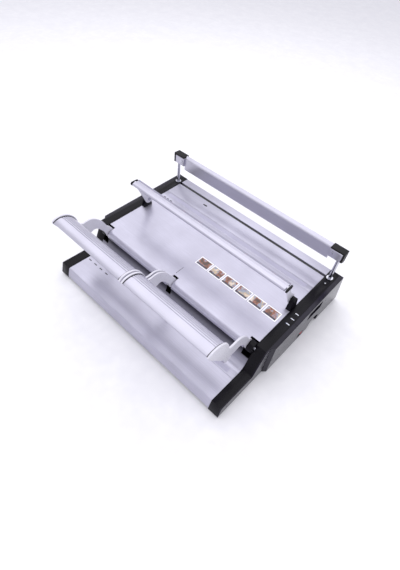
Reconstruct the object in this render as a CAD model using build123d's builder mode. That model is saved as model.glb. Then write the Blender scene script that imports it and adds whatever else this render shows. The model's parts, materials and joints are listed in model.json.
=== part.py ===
"""Desktop cover sealer: a pressed-sheet body between two end frames, with three film-sealing stations.

Front: two half-width handles that swing down on a seal bed in the tray.
Middle: one bar that swings over backwards on a seal bed in the top panel.
Rear: one bar on two guide rods that slides straight down on a slot.
Millimetres. X is across the machine, Y runs from the operator to the back, Z is up, and Z = 0 is the table.
"""
import os
from math import asin, atan2, cos, degrees, hypot, radians, sin

from build123d import *

os.makedirs("parts", exist_ok=True)

# ---------------------------------------------------------------- driving dimensions
# Depths are measured back from the front foot of the end frames, heights up from their underside.
INNER_WIDTH = 580.0        # clear width between the end frames
BODY_DEPTH = 552.0         # front foot to rear foot
REAR_HEIGHT = 128.0        # top of the end frames at the back
SHOULDER_HEIGHT = 113.0    # top of the end frames at the shoulder
TRAY_HEIGHT = 34.0         # tray surface and front step of the end frames
FRONT_RAKE = 9.0           # the front face leans back by this
REAR_RAKE = 44.0           # the rear face leans forward by this
RISER_FOOT = 126.0         # depth where the frames start to rise
SHOULDER_DEPTH = 160.0     # depth where the rise ends
FOOT_HEIGHT = 6.0
FOOT_RADIUS = 11.0
FRAME_THICKNESS = 29.0     # end frame, without its cover
FRAME_WALL = 3.0
COVER_THICKNESS = 3.0      # front part of a side cover
BULGE = 12.0               # rear part of a side cover
BULGE_SETBACK = 16.0       # side covers step out this far behind the shoulder
SHEET = 1.5                # sheet metal of the panels
CLEARANCE = 0.3            # between pieces that lie side by side

# Front station
PIVOT_SETBACK = 5.0        # handle pivot in front of the shoulder
PIVOT_DROP = 11.0          # handle pivot below the shoulder
HANDLE_CLOSING = 54.0      # degrees from raised to pressed
GRIP_REACH = 168.0         # raised handle in front of its pivot
GRIP_END_GAP = 22.0        # outer end of each grip to the end frame
HANDLE_GAP = 4.0           # between the two handles at the centre line
ARM_THICKNESS = 5.0
BED_FROM_RISER = 29.0      # front beds ahead of the foot of the riser
BED_WIDTH = 20.0
BED_PROUD = 1.2            # front beds above the tray
FILM = 0.5                 # non-stick tape over the heating wires
WIRE_WIDTH = 3.0
WIRE_THICKNESS = 0.3
TRAY_DROP = 1.0            # tray below the step of the end frames
PANEL_DROP = 0.5           # top panels below the top of the end frames
PRESS_WIDTH = 14.0
PRESS_HEIGHT = 18.0
PAD_THICKNESS = 3.0
PRESS_GAP = 0.2            # left between a pad and its bed at the end of the stroke
PIN_RADIUS = 4.0
PIN_FIT = 0.08             # radial play on a pin
HUB_RADIUS = 14.0
NOSE_OVERHANG = 18.0       # rolled edge of the top panel ahead of the shoulder
NOSE_DROP = 19.0
NOSE_RADIUS = 15.0
NOTCH_DEPTH = 30.0         # how far the arm notches reach back into the top panel

# Rear station
SLOT_FROM_REAR = 76.0      # centre of the slot, forward from the rear foot
SLOT_WIDTH = 8.0
REAR_TRAVEL = 62.0
REAR_BAR_THICKNESS = 12.0
REAR_BAR_HEIGHT = 40.0
BAR_END_GAP = 18.0         # ends of the rear and middle bars to the end frames
BLADE_WIDTH = 6.0
BLADE_DROP = 4.0
ROD_RADIUS = 5.0
ROD_OFFSET = 13.0          # rod axis outboard of the frame's inner face
BUSH_RADIUS = 8.0
BUSH_LENGTH = 30.0
COLLAR_RADIUS = 9.0
BRACKET_HEIGHT = 31.0
BRACKET_DEPTH = 22.0
BRACKET_WALL = 2.0         # outboard of the rod

# Middle station
BED_TO_SLOT = 72.0         # middle bed, forward from the slot
BAR_PIVOT_TO_BED = 89.0
BAR_PIVOT_LIFT = 35.0      # middle bar pivot above the shoulder
BAR_RISE = 80.0            # raised bar above its pivot
BAR_REACH = 50.0           # raised bar in front of its pivot
BAR_WIDTH = 27.0
BAR_THICKNESS = 10.0
BAR_ARM_THICKNESS = 3.5
BAR_PAD_RADIUS = 4.0

# ---------------------------------------------------------------- derived places
INNER = INNER_WIDTH / 2
FRAME_OUT = INNER + FRAME_THICKNESS
REAR_TOP = BODY_DEPTH - REAR_RAKE
TOP_SLOPE = (REAR_HEIGHT - SHOULDER_HEIGHT) / (REAR_TOP - SHOULDER_DEPTH)
HANDLE_PIVOT_Y = SHOULDER_DEPTH - PIVOT_SETBACK
HANDLE_PIVOT_Z = SHOULDER_HEIGHT - PIVOT_DROP
GRIP_FRONT = HANDLE_PIVOT_Y - GRIP_REACH
HANDLE_END = INNER - GRIP_END_GAP
BAR_HALF = INNER - BAR_END_GAP
REAR_BAR_HALF = INNER - BAR_END_GAP
BULGE_START = SHOULDER_DEPTH + BULGE_SETBACK
NOSE_DEPTH = SHOULDER_DEPTH - NOSE_OVERHANG
FRONT_BED_Y = RISER_FOOT - BED_FROM_RISER
BAR_PIVOT_Z = SHOULDER_HEIGHT + BAR_PIVOT_LIFT
Y0 = -(BODY_DEPTH + GRIP_FRONT) / 2
SLOT_Y = BODY_DEPTH - SLOT_FROM_REAR
MIDDLE_BED_Y = SLOT_Y - BED_TO_SLOT
BAR_PIVOT_Y = MIDDLE_BED_Y - BAR_PIVOT_TO_BED
HANDLE_PIVOT = (HANDLE_PIVOT_Y, HANDLE_PIVOT_Z)
TRAY_Z = TRAY_HEIGHT - TRAY_DROP
FRONT_BED_TOP = TRAY_Z + BED_PROUD
ROD_X = INNER + ROD_OFFSET
PANEL_HALF = INNER - CLEARANCE


def top_z(y):
    """Height of the sloping top at depth y."""
    return SHOULDER_HEIGHT + (y - SHOULDER_DEPTH) * TOP_SLOPE


def at(y, z):
    """A side-view point, from depths and heights to the part's own frame."""
    return (Y0 + y, FOOT_HEIGHT + z)


def turned(y, z, angle, pivot):
    """A side-view point turned about a pivot; a positive angle lowers what is in front of it."""
    dy = y - pivot[0]
    dz = z - pivot[1]
    a = radians(angle)
    return (pivot[0] + dy * cos(a) - dz * sin(a), pivot[1] + dy * sin(a) + dz * cos(a))


def panel_z(y):
    """Height of the top panels at depth y."""
    return top_z(y) - PANEL_DROP


def opened(y, z):
    """A point of a pressed handle, taken to where it is with the handle raised."""
    return at(*turned(y, z, -HANDLE_CLOSING, HANDLE_PIVOT))


def side_plane(x):
    """A side-view sketch plane at x, extruded towards +X."""
    return Plane.YZ.offset(x)


def save(part, name):
    part.label = name
    export_step(part, "parts/" + name + ".step")


FRAME_OUTLINE = [
    at(0, 0),
    at(FRONT_RAKE, TRAY_HEIGHT),
    at(RISER_FOOT, TRAY_HEIGHT),
    at(SHOULDER_DEPTH, SHOULDER_HEIGHT),
    at(REAR_TOP, REAR_HEIGHT),
    at(BODY_DEPTH, 0),
]


def sheet(name, points, radius, half=PANEL_HALF, thickness=SHEET, cuts=()):
    """A folded sheet across the machine: its outer line in side view, thickened inwards.

    Each cut is a box given as (x1, x2, y1, y2, z1, z2) in depths and heights."""
    with BuildPart() as panel:
        with BuildSketch(side_plane(-half)):
            with BuildLine():
                FilletPolyline(*points, radius=radius)
                offset(amount=thickness, side=Side.RIGHT)
            make_face()
        extrude(amount=2 * half)
        for x1, x2, y1, y2, z1, z2 in cuts:
            centre = ((x1 + x2) / 2, Y0 + (y1 + y2) / 2, FOOT_HEIGHT + (z1 + z2) / 2)
            with Locations(centre):
                Box(x2 - x1, y2 - y1, z2 - z1, mode=Mode.SUBTRACT)
    save(panel.part, name)


# ---------------------------------------------------------------- end frames and covers
SEAM_FROM_REAR = 302.0     # middle of the S-shaped seam in the right cover
SEAM_GAP = 0.6
ROCKER_FROM_REAR = 217.0
ROCKER_HEIGHT = 20.0
ROCKER_LENGTH = 22.0
ROCKER_WIDTH = 13.0
BEZEL_WALL = 3.0
GRIP_HOLE_FROM_REAR = 176.0
GRIP_HOLE_LENGTH = 70.0
GRIP_HOLE_HEIGHT = 30.0
GRIP_HOLE_CORNER = 4.0
GRIP_HOLE_TOP = 14.0       # edge of the hand hole below the top of the frame
INLET_FROM_REAR = 147.0
INLET_WIDTH = 28.0
INLET_HEIGHT = 20.0
INLET_CENTRE = 20.0        # socket centre above the underside
ARCH_WIDTH = 50.0
ARCH_HEIGHT = 40.0
LENS_LENGTH = 10.0
LENS_WIDTH = 2.6
LENS_PITCH = 21.0
LENS_FROM_REAR = 288.0     # foremost lens
LENS_X = INNER + 19.0
SCREW_RADIUS = 3.0
SCREW_SINK = 1.4
SEAM_Y = BODY_DEPTH - SEAM_FROM_REAR
ROCKER_Y = BODY_DEPTH - ROCKER_FROM_REAR
GRIP_HOLE_Y = BODY_DEPTH - GRIP_HOLE_FROM_REAR
INLET_Y = BODY_DEPTH - INLET_FROM_REAR
LENS_Y = [BODY_DEPTH - LENS_FROM_REAR + n * LENS_PITCH for n in range(3)]
COVER_SCREWS = [
    (30.0, 17.0),
    (SHOULDER_DEPTH + 28.0, 60.0),
    (BODY_DEPTH - 121.0, 88.0),
    (BODY_DEPTH - 40.0, 20.0),
]


def end_frame(name, side, lens_places=()):
    """An open box moulding: an inner web with a rim, closed by its side cover."""
    inner = side * INNER
    with BuildPart() as frame:
        with BuildSketch(side_plane(inner)):
            Polygon(*FRAME_OUTLINE, align=None)
        extrude(amount=side * FRAME_THICKNESS)
        with BuildSketch(side_plane(inner + side * FRAME_WALL)):
            Polygon(*FRAME_OUTLINE, align=None)
            offset(amount=-FRAME_WALL)
        extrude(amount=side * FRAME_THICKNESS, mode=Mode.SUBTRACT)
        with BuildSketch(side_plane(inner)):
            with Locations(at(*HANDLE_PIVOT)):
                Circle(PIN_RADIUS)
        extrude(amount=side * FRAME_WALL, mode=Mode.SUBTRACT)
        with Locations((side * ROD_X, Y0 + SLOT_Y, FOOT_HEIGHT + top_z(SLOT_Y) - FRAME_WALL)):
            Cylinder(BUSH_RADIUS, 4 * FRAME_WALL, mode=Mode.SUBTRACT)
        for y in lens_places:
            with Locations((LENS_X, Y0 + y, FOOT_HEIGHT + top_z(y))):
                Box(LENS_LENGTH, LENS_WIDTH, 3 * FRAME_WALL, mode=Mode.SUBTRACT)
    save(frame.part, name)


def seam_line(front):
    """The S-shaped seam, from above the cover to below it, moved half the gap to one side."""
    shift = -SEAM_GAP / 2 if front else SEAM_GAP / 2
    curve = [(26, 1.15), (18, 0.74), (-10, 0.43), (-21, 0.20), (-14, -0.15)]
    return [at(SEAM_Y + y + shift, z * REAR_HEIGHT) for y, z in curve]


def side_cover(name, side, zone=None, control=False):
    """A thin cover that steps out behind the shoulder, hollow inside where it stands out."""
    inner = side * FRAME_OUT
    with BuildPart() as cover:
        with BuildSketch(side_plane(inner)):
            Polygon(*FRAME_OUTLINE, align=None)
        extrude(amount=side * COVER_THICKNESS)
        with BuildSketch(side_plane(inner)):
            Polygon(*FRAME_OUTLINE, align=None)
            with Locations(at(BULGE_START, 0)):
                Rectangle(BODY_DEPTH, 3 * REAR_HEIGHT, align=(Align.MAX, Align.CENTER), mode=Mode.SUBTRACT)
        extrude(amount=side * BULGE)
        step = cover.edges().filter_by(Axis.Z).sort_by(lambda e: abs(e.center().X))[-1]
        chamfer(step, BULGE - COVER_THICKNESS - 0.5)
        outer = cover.faces().filter_by(Axis.X).sort_by(lambda f: abs(f.center().X))[-1]
        fillet(outer.edges(), 1.8)
        with BuildSketch(side_plane(inner)):
            Polygon(*FRAME_OUTLINE, align=None)
            with Locations(at(BULGE_START + BULGE, 0)):
                Rectangle(BODY_DEPTH, 3 * REAR_HEIGHT, align=(Align.MAX, Align.CENTER), mode=Mode.SUBTRACT)
            offset(amount=-FRAME_WALL)
        extrude(amount=side * (BULGE - FRAME_WALL), mode=Mode.SUBTRACT)
        for y, z in COVER_SCREWS:
            face = BULGE if y > BULGE_START else COVER_THICKNESS
            with BuildSketch(side_plane(inner + side * face)):
                with Locations(at(y, z)):
                    Circle(SCREW_RADIUS)
            extrude(amount=-side * SCREW_SINK, mode=Mode.SUBTRACT)
        hole_z = top_z(GRIP_HOLE_Y) - GRIP_HOLE_TOP - GRIP_HOLE_HEIGHT / 2
        with BuildSketch(side_plane(inner)):
            with Locations(at(GRIP_HOLE_Y, hole_z)):
                RectangleRounded(GRIP_HOLE_LENGTH, GRIP_HOLE_HEIGHT, GRIP_HOLE_CORNER)
        extrude(amount=side * 2 * BULGE, mode=Mode.SUBTRACT)
        if control:
            with BuildSketch(side_plane(inner)):
                with Locations(at(ROCKER_Y, ROCKER_HEIGHT)):
                    Rectangle(ROCKER_LENGTH + 2 * BEZEL_WALL, ROCKER_WIDTH + 2 * BEZEL_WALL)
                with Locations(at(INLET_Y, 0)):
                    Rectangle(ARCH_WIDTH, 2 * (ARCH_HEIGHT - ARCH_WIDTH / 2))
                with Locations(at(INLET_Y, ARCH_HEIGHT - ARCH_WIDTH / 2)):
                    Circle(ARCH_WIDTH / 2)
            extrude(amount=side * 2 * BULGE, mode=Mode.SUBTRACT)
        if zone:
            seam = seam_line(zone == "front")
            far_y = Y0 - 50 if zone == "front" else Y0 + BODY_DEPTH + 50
            with BuildSketch(side_plane(inner)):
                with BuildLine():
                    Spline(*seam)
                    Polyline(seam[-1], (far_y, seam[-1][1]), (far_y, seam[0][1]), seam[0])
                make_face()
            extrude(amount=side * 2 * BULGE, mode=Mode.INTERSECT)
    save(cover.part, name)


end_frame("left_end_frame", -1)
end_frame("right_end_frame", 1, LENS_Y)
side_cover("left_side_cover", -1)
side_cover("right_front_cover", 1, zone="front")
side_cover("right_control_cover", 1, zone="rear", control=True)

# ---------------------------------------------------------------- sheet panels and beds
BASE_THICKNESS = 2.0
BASE_Z = 1.0
BASE_TOP = BASE_Z + BASE_THICKNESS
ARM_OUTER = HANDLE_END + ARM_THICKNESS
NOTCH_SIDE = 2.0           # free space beside an arm in its notch
CENTRE_NOTCH = HANDLE_GAP / 2 + ARM_THICKNESS + NOTCH_SIDE
NOTCH_INNER = HANDLE_END - NOTCH_SIDE
NOTCH_BACK = NOSE_DEPTH + NOTCH_DEPTH
NOTCHES_X = [(-CENTRE_NOTCH, CENTRE_NOTCH), (NOTCH_INNER, 2 * INNER), (-2 * INNER, -NOTCH_INNER)]
RISER_TOP = panel_z(NOSE_DEPTH) - NOSE_DROP
RISER_Y = NOSE_DEPTH + SHEET + 3.0
MIDDLE_BED_FRONT = MIDDLE_BED_Y - BED_WIDTH / 2
MIDDLE_BED_BACK = MIDDLE_BED_Y + BED_WIDTH / 2
SLOT_FRONT = SLOT_Y - SLOT_WIDTH / 2
SLOT_BACK = SLOT_Y + SLOT_WIDTH / 2
SLOT_DEPTH = 3.0
REAR_BED_TOP = panel_z(SLOT_Y) - SLOT_DEPTH
REAR_BED_HEIGHT = 22.0

with BuildPart() as base:
    with Locations((0, Y0 + BODY_DEPTH / 2, FOOT_HEIGHT + BASE_Z)):
        Box(2 * PANEL_HALF, BODY_DEPTH - 12, BASE_THICKNESS, align=(Align.CENTER, Align.CENTER, Align.MIN))
save(base.part, "base_plate")

riser_notches = [(x1, x2, RISER_FOOT - 20, NOTCH_BACK, TRAY_Z + 36, REAR_HEIGHT) for x1, x2 in NOTCHES_X]
sheet(
    "tray_panel",
    [
        at(FRONT_RAKE * BASE_TOP / TRAY_HEIGHT + 0.5, BASE_TOP),
        at(FRONT_RAKE + 0.5, TRAY_Z),
        at(RISER_FOOT - 2, TRAY_Z),
        at(RISER_Y - 4, RISER_TOP - 16),
        at(RISER_Y, RISER_TOP + 2),
    ],
    [4.0, 26.0, 20.0],
    cuts=riser_notches,
)
nose_notches = [(x1, x2, NOSE_DEPTH - 20, NOTCH_BACK, 0, 2 * REAR_HEIGHT) for x1, x2 in NOTCHES_X]
sheet(
    "top_panel",
    [
        at(NOSE_DEPTH, panel_z(NOSE_DEPTH) - NOSE_DROP),
        at(NOSE_DEPTH, panel_z(NOSE_DEPTH)),
        at(MIDDLE_BED_FRONT - CLEARANCE, panel_z(MIDDLE_BED_FRONT - CLEARANCE)),
    ],
    NOSE_RADIUS,
    cuts=nose_notches,
)
sheet(
    "rear_top_panel",
    [
        at(MIDDLE_BED_BACK + CLEARANCE, panel_z(MIDDLE_BED_BACK + CLEARANCE)),
        at(SLOT_FRONT, panel_z(SLOT_FRONT)),
        at(SLOT_FRONT, panel_z(SLOT_FRONT) - 12),
    ],
    2.5,
)


def rear_slope(z):
    """Depth of the rear face at height z."""
    return BODY_DEPTH - REAR_RAKE * z / REAR_HEIGHT


RAIL_DEPTH = 14.0
RAIL_BOTTOM = panel_z(SLOT_BACK) - RAIL_DEPTH
with BuildPart() as rail:
    with BuildSketch(side_plane(-PANEL_HALF)):
        Polygon(
            at(SLOT_BACK, RAIL_BOTTOM),
            at(SLOT_BACK, panel_z(SLOT_BACK)),
            at(REAR_TOP - 1.5, panel_z(REAR_TOP)),
            at(rear_slope(REAR_HEIGHT - 3) - 0.5, REAR_HEIGHT - 3),
            at(rear_slope(RAIL_BOTTOM) - 0.5, RAIL_BOTTOM),
            align=None,
        )
    extrude(amount=2 * PANEL_HALF)
    fillet(rail.edges().filter_by(Axis.X).sort_by(Axis.Z)[-2:], 1.0)
save(rail.part, "rear_rail")

sheet(
    "back_panel",
    [
        at(SLOT_BACK + 8, RAIL_BOTTOM - 0.2),
        at(rear_slope(RAIL_BOTTOM) - 0.5, RAIL_BOTTOM - 0.2),
        at(rear_slope(BASE_TOP) - 0.5, BASE_TOP),
    ],
    3.0,
)

with BuildPart() as channel:
    with BuildSketch(side_plane(-PANEL_HALF)):
        with Locations(at(SLOT_Y, REAR_BED_TOP - REAR_BED_HEIGHT - SHEET)):
            Rectangle(SLOT_WIDTH + 2 * SHEET, REAR_BED_HEIGHT - 12 + SHEET, align=(Align.CENTER, Align.MIN))
        with Locations(at(SLOT_Y, REAR_BED_TOP - REAR_BED_HEIGHT)):
            Rectangle(SLOT_WIDTH, REAR_BED_HEIGHT, align=(Align.CENTER, Align.MIN), mode=Mode.SUBTRACT)
    extrude(amount=2 * PANEL_HALF)
save(channel.part, "rear_slot_channel")

with BuildPart() as rear_bed:
    with BuildSketch(side_plane(-REAR_BAR_HALF)):
        with Locations(at(SLOT_Y, REAR_BED_TOP - REAR_BED_HEIGHT)):
            Rectangle(SLOT_WIDTH - CLEARANCE, REAR_BED_HEIGHT, align=(Align.CENTER, Align.MIN))
    extrude(amount=2 * REAR_BAR_HALF)
save(rear_bed.part, "rear_seal_bed")

MIDDLE_BED_HEIGHT = 14.0
with BuildPart() as middle_bed:
    with BuildSketch(side_plane(-PANEL_HALF)):
        Polygon(
            at(MIDDLE_BED_FRONT, panel_z(MIDDLE_BED_FRONT) - MIDDLE_BED_HEIGHT),
            at(MIDDLE_BED_FRONT, panel_z(MIDDLE_BED_FRONT)),
            at(MIDDLE_BED_BACK, panel_z(MIDDLE_BED_BACK)),
            at(MIDDLE_BED_BACK, panel_z(MIDDLE_BED_BACK) - MIDDLE_BED_HEIGHT),
            align=None,
        )
    extrude(amount=2 * PANEL_HALF)
save(middle_bed.part, "middle_seal_bed")

with BuildPart() as front_beds:
    bed_length = PANEL_HALF - HANDLE_GAP / 2
    for side in (-1, 1):
        centre_x = side * (HANDLE_GAP / 2 + bed_length / 2)
        with Locations((centre_x, Y0 + FRONT_BED_Y, FOOT_HEIGHT + TRAY_Z)):
            Box(bed_length, BED_WIDTH, BED_PROUD, align=(Align.CENTER, Align.CENTER, Align.MIN))
save(front_beds.part, "front_seal_beds")

# Every bed carries a flat heating wire under a strip of non-stick tape.
HANDLE_START = HANDLE_GAP / 2 + ARM_THICKNESS
FRONT_TAPE = (HANDLE_START, HANDLE_END)
MIDDLE_TAPE_TOP = panel_z(MIDDLE_BED_Y) + FILM
STRIPS = [
    (FRONT_TAPE[0], FRONT_TAPE[1], FRONT_BED_Y, FRONT_BED_TOP, PRESS_WIDTH),
    (-FRONT_TAPE[1], -FRONT_TAPE[0], FRONT_BED_Y, FRONT_BED_TOP, PRESS_WIDTH),
    (-REAR_BAR_HALF, REAR_BAR_HALF, SLOT_Y, REAR_BED_TOP, SLOT_WIDTH - 1),
]


def bed_strips(name, width, height, groove, middle_width):
    """The four strips that lie on the beds; the middle one follows the slope of its panel."""
    with BuildPart() as strips:
        for x1, x2, y, z, tape_width in STRIPS:
            with Locations(((x1 + x2) / 2, Y0 + y, FOOT_HEIGHT + z)):
                Box(x2 - x1, width or tape_width, height, align=(Align.CENTER, Align.CENTER, Align.MIN))
                if groove:
                    Box(
                        x2 - x1, WIRE_WIDTH, WIRE_THICKNESS, mode=Mode.SUBTRACT,
                        align=(Align.CENTER, Align.CENTER, Align.MIN),
                    )
        slope = degrees(atan2(TOP_SLOPE, 1))
        bed_plane = Plane((0, Y0 + MIDDLE_BED_Y, FOOT_HEIGHT + panel_z(MIDDLE_BED_Y))).rotated((slope, 0, 0))
        with Locations(bed_plane):
            Box(2 * BAR_HALF, middle_width, height, align=(Align.CENTER, Align.CENTER, Align.MIN))
            if groove:
                Box(
                    2 * BAR_HALF, WIRE_WIDTH, WIRE_THICKNESS, mode=Mode.SUBTRACT,
                    align=(Align.CENTER, Align.CENTER, Align.MIN),
                )
    save(strips.part, name)


bed_strips("heating_wires", WIRE_WIDTH, WIRE_THICKNESS, False, WIRE_WIDTH)
bed_strips("nonstick_tapes", None, FILM, True, BED_WIDTH - 6)

# ---------------------------------------------------------------- front handles
GRIP_WALL = 4.0
GROOVE_RADIUS = 1.4
GROOVES = 5
PRESS_PAD_Z = FRONT_BED_TOP + FILM + PRESS_GAP
BRACKET_THICKNESS = 3.0
CAP_THICKNESS = 2.0        # dark closure plate on each end of a grip

# Side view of a raised handle, as offsets from its pivot.
GRIP_CREST = [(-166.0, 132.0), (-142.0, 137.5), (-117.0, 127.5)]
GRIP_BACK = [(-117.0, 127.5), (-106.5, 114.0), (-100.0, 96.0)]
PADDLE_TOP = [(-GRIP_REACH, 131.0), (-157.0, 139.0), (-141.0, 140.5), (-114.0, 129.0), (-98.0, 99.0)]
NECK_TOP = [(-98.0, 99.0), (-86.0, 83.0), (-61.0, 84.0), (-42.0, 76.0), (-24.0, 59.0), (-9.0, 32.0)]
HUB_SIDE = [(-9.0, 32.0), (9.0, 12.0), (13.0, -6.0)]
HUB_UNDER = [(13.0, -6.0), (0.0, -HUB_RADIUS), (-13.0, -5.0)]
NECK_UNDER = [(-13.0, -5.0), (-20.0, 14.0), (-33.0, 32.0), (-47.0, 43.0), (-61.0, 40.0)]
BELLY = [(-61.0, 40.0), (-80.0, 40.5), (-103.0, 50.0), (-136.0, 86.0), (-157.0, 113.0), (-GRIP_REACH, 131.0)]


def from_pivot(points):
    """Side-view offsets from the handle pivot, as points of the part's own frame."""
    return [at(HANDLE_PIVOT_Y + y, HANDLE_PIVOT_Z + z) for y, z in points]


def handle_arm_at(x, thickness):
    """One swan-neck arm: a paddle that closes the end of the grip, a neck and a hub."""
    with BuildPart() as arm:
        with BuildSketch(side_plane(x)):
            with BuildLine():
                Spline(*from_pivot(PADDLE_TOP))
                Spline(*from_pivot(NECK_TOP))
                Spline(*from_pivot(HUB_SIDE))
                Spline(*from_pivot(HUB_UNDER))
                Spline(*from_pivot(NECK_UNDER))
                Spline(*from_pivot(BELLY))
            make_face()
            with Locations(at(*HANDLE_PIVOT)):
                Circle(PIN_RADIUS + PIN_FIT, mode=Mode.SUBTRACT)
        extrude(amount=thickness)
        fillet(arm.edges().filter_by(Axis.X, reverse=True), 0.8)
    return arm.part


def pressed_box(x1, x2, y, z, width, height):
    """A box across the machine drawn in the pressed position, with its bottom middle at (y, z)."""
    front = y - width / 2
    back = y + width / 2
    corners = [(front, z), (front, z + height), (back, z + height), (back, z)]
    with BuildPart() as bar:
        with BuildSketch(side_plane(x1)):
            Polygon(*[opened(cy, cz) for cy, cz in corners], align=None)
        extrude(amount=x2 - x1)
    return bar.part


def handle(name, side):
    """Everything that swings with one front handle."""
    start = side * HANDLE_START
    end = side * HANDLE_END
    length = side * (HANDLE_END - HANDLE_START)
    with BuildPart() as grip:
        with BuildSketch(side_plane(start + side * CAP_THICKNESS)):
            with BuildLine():
                crest = ThreePointArc(*from_pivot(GRIP_CREST))
                ThreePointArc(*from_pivot(GRIP_BACK))
                offset(amount=GRIP_WALL, side=Side.RIGHT)
            make_face()
            for n in range(GROOVES):
                with Locations(crest @ (0.52 + 0.11 * n)):
                    Circle(GROOVE_RADIUS, mode=Mode.SUBTRACT)
        extrude(amount=length - side * CAP_THICKNESS * 2)
    save(grip.part, name + "_grip")

    with BuildPart() as caps:
        for x in (start, end - side * CAP_THICKNESS):
            with BuildSketch(side_plane(x)):
                with BuildLine():
                    ThreePointArc(*from_pivot(GRIP_CREST))
                    ThreePointArc(*from_pivot(GRIP_BACK))
                    Line(from_pivot(GRIP_BACK)[-1], from_pivot(GRIP_CREST)[0])
                make_face()
            extrude(amount=side * CAP_THICKNESS)
    save(caps.part, name + "_grip_ends")

    with BuildPart() as arms:
        add(handle_arm_at(end if side > 0 else end - ARM_THICKNESS, ARM_THICKNESS))
        inner_x = start - side * ARM_THICKNESS
        add(handle_arm_at(inner_x if side > 0 else start, ARM_THICKNESS))
    save(arms.part, name + "_arms")

    bar_start = start + side * BRACKET_THICKNESS
    bar_end = end - side * BRACKET_THICKNESS
    low, high = sorted((bar_start, bar_end))
    bar_z = PRESS_PAD_Z + PAD_THICKNESS
    with BuildPart() as press_bar:
        add(pressed_box(low, high, FRONT_BED_Y, bar_z, PRESS_WIDTH, PRESS_HEIGHT))
        slot_z = bar_z + PRESS_HEIGHT * 0.4
        add(
            pressed_box(low, high, FRONT_BED_Y + PRESS_WIDTH / 2 - 1, slot_z, 2 + CLEARANCE, 5),
            mode=Mode.SUBTRACT,
        )
    save(press_bar.part, name + "_press_bar")
    pad = pressed_box(low, high, FRONT_BED_Y, PRESS_PAD_Z, PRESS_WIDTH - 2, PAD_THICKNESS)
    save(pad, name + "_press_pad")

    bracket_top = [(HANDLE_PIVOT_Y - 86, HANDLE_PIVOT_Z + 66), (HANDLE_PIVOT_Y - 112, HANDLE_PIVOT_Z + 84)]
    bracket_low = [
        (FRONT_BED_Y + PRESS_WIDTH / 2, bar_z + PRESS_HEIGHT),
        (FRONT_BED_Y + PRESS_WIDTH / 2, bar_z),
        (FRONT_BED_Y - PRESS_WIDTH / 2, bar_z),
    ]
    with BuildPart() as brackets:
        for x in (start, bar_end):
            with BuildSketch(side_plane(x)):
                outline = [at(*point) for point in reversed(bracket_top)]
                outline += [opened(*point) for point in bracket_low]
                Polygon(*outline, align=None)
            extrude(amount=side * BRACKET_THICKNESS)
    save(brackets.part, name + "_press_brackets")


handle("left_handle", -1)
handle("right_handle", 1)

PIN_HEAD_RADIUS = 6.0
PIN_HEAD = 2.0
CENTRE_PLATE = HANDLE_GAP - 1.0
CENTRE_PLATE_RADIUS = 10.0
HUB_CAP_RADIUS = 16.0
HUB_GAP = 0.4
HUB_SPRING_INNER = 8.0
HUB_SPRING_OUTER = 11.0
HUB_SPRING_LENGTH = 9.0
with BuildPart() as pins:
    pin_places = [(-CENTRE_NOTCH, CENTRE_NOTCH)]
    pin_places += [sorted((side * NOTCH_INNER, side * (INNER + FRAME_WALL))) for side in (-1, 1)]
    for x1, x2 in pin_places:
        with BuildSketch(side_plane(x1)):
            with Locations(at(*HANDLE_PIVOT)):
                Circle(PIN_RADIUS)
        extrude(amount=x2 - x1)
    head_places = [-CENTRE_NOTCH - PIN_HEAD, CENTRE_NOTCH, NOTCH_INNER - PIN_HEAD, -NOTCH_INNER]
    for x in head_places:
        with BuildSketch(side_plane(x)):
            with Locations(at(*HANDLE_PIVOT)):
                Circle(PIN_HEAD_RADIUS)
        extrude(amount=PIN_HEAD)
save(pins.part, "handle_pivot_pins")

with BuildPart() as hubs:
    for side in (-1, 1):
        hub_start = side * (ARM_OUTER + HUB_GAP)
        with BuildSketch(side_plane(hub_start)):
            with Locations(at(*HANDLE_PIVOT)):
                Circle(HUB_CAP_RADIUS)
                Circle(PIN_RADIUS, mode=Mode.SUBTRACT)
        extrude(amount=side * (INNER - ARM_OUTER - HUB_GAP))
        with BuildSketch(side_plane(side * INNER)):
            with Locations(at(*HANDLE_PIVOT)):
                Circle(HUB_SPRING_OUTER + CLEARANCE)
                Circle(HUB_SPRING_INNER - CLEARANCE, mode=Mode.SUBTRACT)
        extrude(amount=-side * (HUB_SPRING_LENGTH + CLEARANCE), mode=Mode.SUBTRACT)
    fillet(hubs.edges().filter_by(GeomType.CIRCLE).filter_by(lambda e: e.radius > HUB_CAP_RADIUS - 1), 1.5)
save(hubs.part, "handle_hub_caps")

with BuildPart() as torsion_springs:
    for side in (-1, 1):
        with BuildSketch(side_plane(side * INNER)):
            with Locations(at(*HANDLE_PIVOT)):
                Circle(HUB_SPRING_OUTER)
                Circle(HUB_SPRING_INNER, mode=Mode.SUBTRACT)
        extrude(amount=-side * HUB_SPRING_LENGTH)
save(torsion_springs.part, "handle_torsion_springs")

with BuildPart() as centre_bracket:
    with BuildSketch(side_plane(-CENTRE_PLATE / 2)):
        with Locations(at(*HANDLE_PIVOT)):
            Circle(CENTRE_PLATE_RADIUS)
        foot_front = at(HANDLE_PIVOT_Y - 3, BASE_TOP)
        foot_back = at(HANDLE_PIVOT_Y + 22, BASE_TOP)
        hub_back = at(HANDLE_PIVOT_Y + CENTRE_PLATE_RADIUS, HANDLE_PIVOT_Z)
        hub_front = at(HANDLE_PIVOT_Y - 3, HANDLE_PIVOT_Z)
        Polygon(foot_front, foot_back, hub_back, hub_front, align=None)
        with Locations(at(*HANDLE_PIVOT)):
            Circle(PIN_RADIUS, mode=Mode.SUBTRACT)
    extrude(amount=CENTRE_PLATE)
    with Locations((0, foot_front[0], FOOT_HEIGHT + BASE_TOP)):
        Box(30, foot_back[0] - foot_front[0], 3, align=(Align.CENTER, Align.MIN, Align.MIN))
save(centre_bracket.part, "centre_pivot_bracket")

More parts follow.
